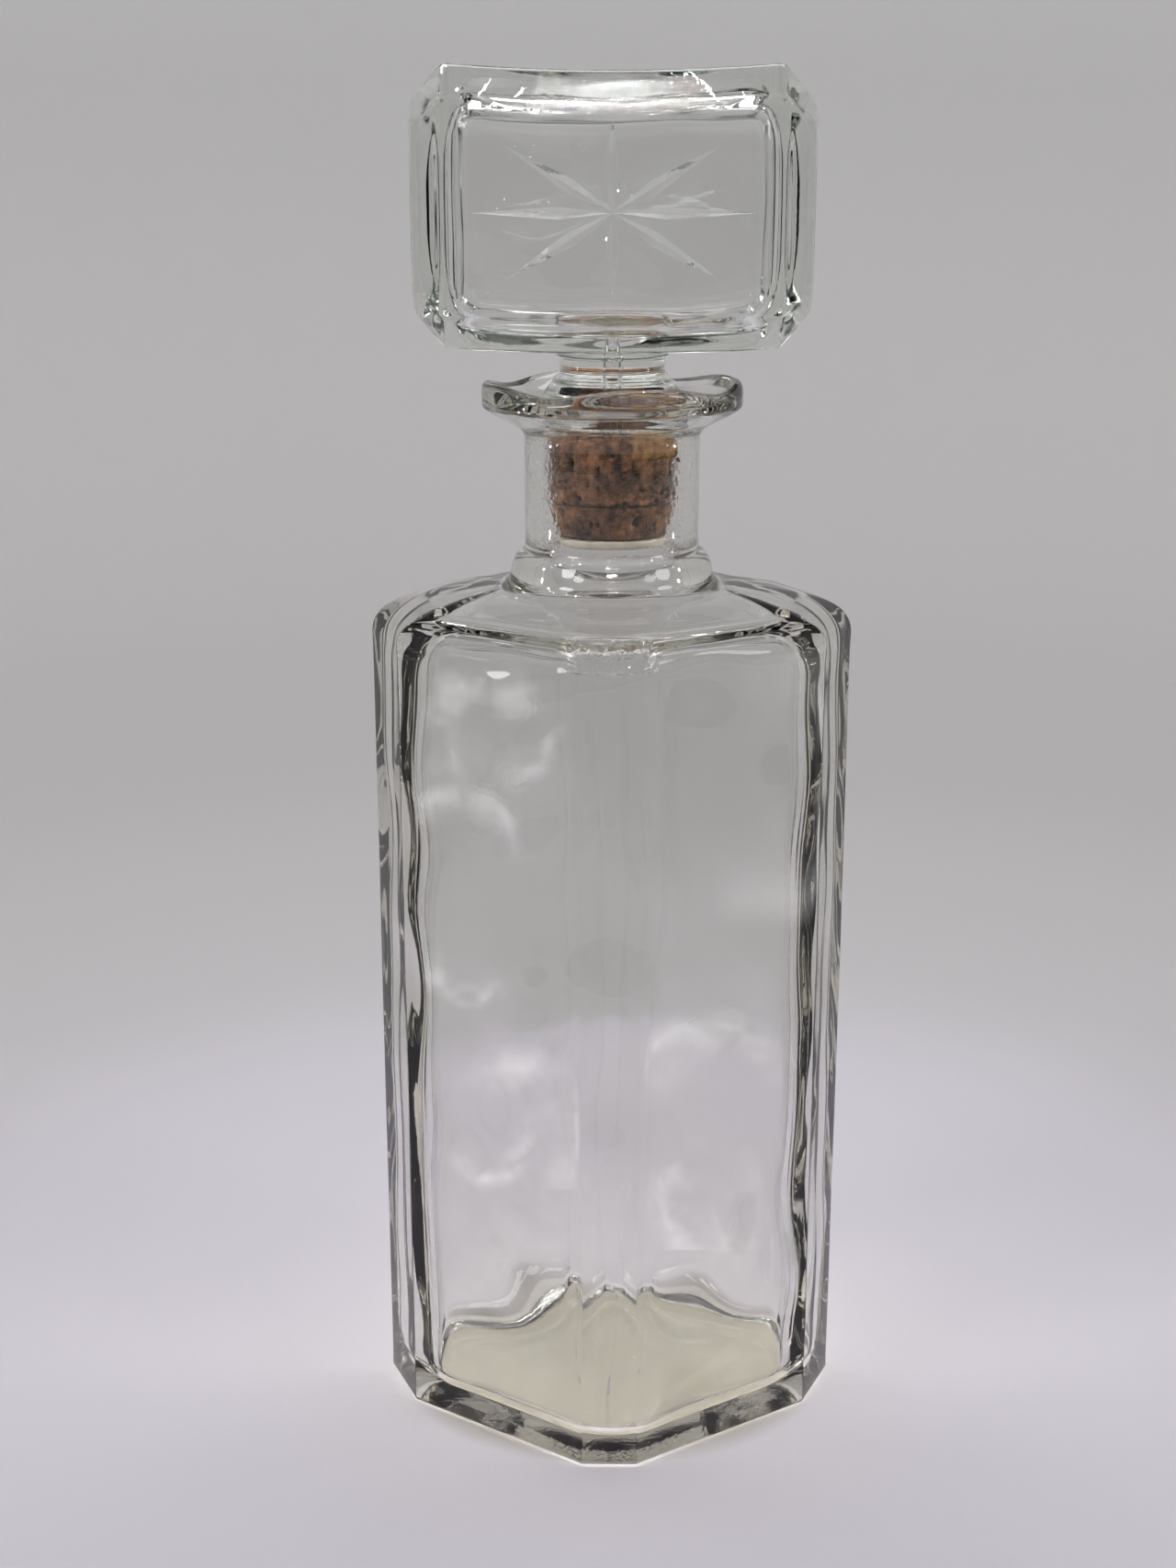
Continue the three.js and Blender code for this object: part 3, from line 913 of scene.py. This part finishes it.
def area_light(name, place, target, size, power, colour=(1, 1, 1), size_y=None):
    """A lamp at a place, facing its target: round, or oblong if it has a second size."""
    data = bpy.data.lights.new(name, "AREA")
    data.shape = "RECTANGLE" if size_y else "DISK"
    data.size = size
    if size_y:
        data.size_y = size_y
    data.energy = power
    data.color = colour
    light = bpy.data.objects.new(name, data)
    light.location = place
    light.rotation_euler = (Vector(target) - Vector(place)).to_track_quat("-Z", "Y").to_euler()
    bpy.context.scene.collection.objects.link(light)
    return light


def reflected_only(light):
    """A lamp that is seen in gloss, and lights nothing else up."""
    light.visible_camera = False
    light.visible_diffuse = False
    light.visible_transmission = False
    light.visible_volume_scatter = False


def crescent(light, pattern):
    """Bright in patches along a soft arc only, so its reflection has no edge."""
    light.data.use_nodes = True
    tree = light.data.node_tree

    def mapped(source, low, high, start, end):
        node = tree.nodes.new("ShaderNodeMapRange")
        for key, value in enumerate((low, high, start, end), 1):
            node.inputs[key].default_value = value
        tree.links.new(source, node.inputs[0])
        return node.outputs[0]

    def product(one, other):
        node = tree.nodes.new("ShaderNodeMath")
        node.operation = "MULTIPLY"
        tree.links.new(one, node.inputs[0])
        tree.links.new(other, node.inputs[1])
        return node.outputs[0]

    place = tree.nodes.new("ShaderNodeNewGeometry").outputs["Parametric"]
    away = tree.nodes.new("ShaderNodeVectorMath")
    away.operation = "DISTANCE"
    away.inputs[1].default_value = (0.5, 0.5, 0)
    tree.links.new(place, away.inputs[0])
    apart = tree.nodes.new("ShaderNodeSeparateXYZ")
    tree.links.new(place, apart.inputs[0])
    noise = tree.nodes.new("ShaderNodeTexNoise")
    noise.noise_dimensions = "4D"
    noise.inputs["W"].default_value = 1.7 * pattern
    noise.inputs["Scale"].default_value = 4.5
    tree.links.new(place, noise.inputs["Vector"])
    distance = away.outputs["Value"]
    arc = product(mapped(distance, 0.12, 0.36, 0, 1), mapped(distance, 0.36, 0.49, 1, 0))
    arc = product(arc, mapped(apart.outputs["X"], 0.38, 0.75, 0, 5))
    arc = product(arc, mapped(noise.outputs["Fac"], 0.4, 0.62, 0.1, 1.5))
    tree.links.new(arc, tree.nodes["Emission"].inputs["Strength"])


# Soft arcs of light on either side of the decanter: place, size and turn in degrees.
smears = [
    (-0.33, -0.14, 0.085, 0.055, 150), (-0.27, -0.12, 0.1, 0.045, 20), (-0.19, -0.08, 0.05, 0.03, 250),
    (-0.14, -0.075, 0.016, 0.06, 40), (-0.115, -0.06, 0.03, 0.03, 300), (0.3, -0.115, 0.075, 0.11, 350),
    (0.17, -0.085, 0.02, 0.05, 100), (0.11, -0.06, 0.014, 0.045, 200), (-0.31, -0.12, 0.05, 0.05, 80),
]


def make_lights():
    """Four lamps that light the scene, and small ones that are only seen in reflections."""
    middle = (0, 0, 0.15)
    area_light("overhead", (0, 0.25, 1.3), middle, 1.0, 7.3, (1, 0.995, 0.99), 0.6)
    area_light("left", (-1.0, -0.7, 0.9), middle, 0.4, 3.9, (1, 0.99, 0.98))
    area_light("right", (1.05, -0.5, 0.75), middle, 0.4, 2.3, (0.98, 0.99, 1))
    area_light("key", (-0.03, -0.475, 0.335), (0, 0, 0.2), 0.005, 0.045)
    for degrees in (193, 347):
        a = math.radians(degrees)
        place = (0.62 * math.cos(a), 0.62 * math.sin(a), 0.045)
        reflected_only(area_light(f"strip_{degrees}", place, (0, 0, 0.19), 0.03, 0.1, size_y=0.09))
    for k, (x, y, z, size, turn) in enumerate(smears):
        smear = area_light(f"smear_{k}", (x, y, z), (0, 0, z), size, 1.25 * size**2)
        smear.rotation_euler.rotate_axis("Z", math.radians(turn))
        reflected_only(smear)
        crescent(smear, k)
    for row in range(3):
        for k in range(7):
            place = ((k - 3) * 0.03, -0.24 - row * 0.05, 0.97)
            reflected_only(area_light(f"lamp_{row}_{k}", place, (0, 0, 0.29), 0.0035, 0.004))
    facet = Vector((0, -0.04, 0.187))
    for row in range(7):
        for k in range(4):
            up = math.radians(25 + 9 * row)
            place = facet + 0.7 * Vector((0, -math.cos(up), math.sin(up))) + Vector(((k - 1.5) * 0.035, 0, 0))
            reflected_only(area_light(f"facet_{row}_{k}", place, facet, 0.008, 0.08))
    star = Vector((0, -0.018, 0.273))
    for k in range(22):
        a = math.radians(-15 + k * 10)
        place = star + 0.7 * Vector((math.cos(a), -0.06 * (k % 3), math.sin(a)))
        reflected_only(area_light(f"glint_{k}", place, star, 0.02, 0.4))


def make_world():
    """A room that is dark level with the decanter and lighter above."""
    world = bpy.data.worlds.new("room")
    bpy.context.scene.world = world
    world.use_nodes = True
    background = world.node_tree.nodes["Background"]
    tree = world.node_tree
    direction = tree.nodes.new("ShaderNodeTexCoord")
    apart = tree.nodes.new("ShaderNodeSeparateXYZ")
    tree.links.new(direction.outputs["Generated"], apart.inputs[0])
    level = tree.nodes.new("ShaderNodeMapRange")
    for key, value in {1: 0.12, 2: 0.6, 3: 0.05, 4: 0.25}.items():
        level.inputs[key].default_value = value
    tree.links.new(apart.outputs["Z"], level.inputs[0])
    background.inputs["Color"].default_value = (1, 1, 1, 1)
    tree.links.new(level.outputs[0], background.inputs["Strength"])


def make_camera():
    """Close, a little above the lip, looking down: the foot is seen well from above, the stopper level."""
    data = bpy.data.cameras.new("camera")
    data.sensor_width = 36
    data.lens = 48.5
    data.clip_start = 0.02
    camera = bpy.data.objects.new("camera", data)
    camera.location = (0, -0.4584, 0.2793)
    pitch, heading = math.radians(15.91), math.radians(0.648)
    camera.rotation_euler = (math.pi / 2 - pitch, 0, heading)
    bpy.context.scene.collection.objects.link(camera)
    bpy.context.scene.camera = camera


# ---------------------------------------------------------------- assembly

make_camera()
make_world()
make_stage()
make_lights()

bottle_glass = glass_material("bottle_glass", 0.91, (0.83, 0.81, 0.73), 24, 0.3)
stopper_glass = glass_material("stopper_glass", 0.965, (0.83, 0.86, 0.82), 26, 0.4)
pieces = [
    (make_bottle(), "bottle", "bottle", "bottle_glass", bottle_glass),
    (make_stopper(), "stopper", "stopper", "stopper_glass", stopper_glass),
    (make_cork(), "cork", "cork_sleeve", "cork", cork_material()),
    (make_disc(), "cork", "seal_disc", "seal_disc", disc_material()),
]
for piece, body, node, slot, material in pieces:
    piece.data.materials.clear()
    piece.data.materials.append(material)
    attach(piece, body)
    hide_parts(node)

scene = bpy.context.scene
scene.view_settings.view_transform = "Standard"
scene.cycles.max_bounces = 24
scene.cycles.transmission_bounces = 24
scene.cycles.glossy_bounces = 8
scene.cycles.transparent_max_bounces = 16
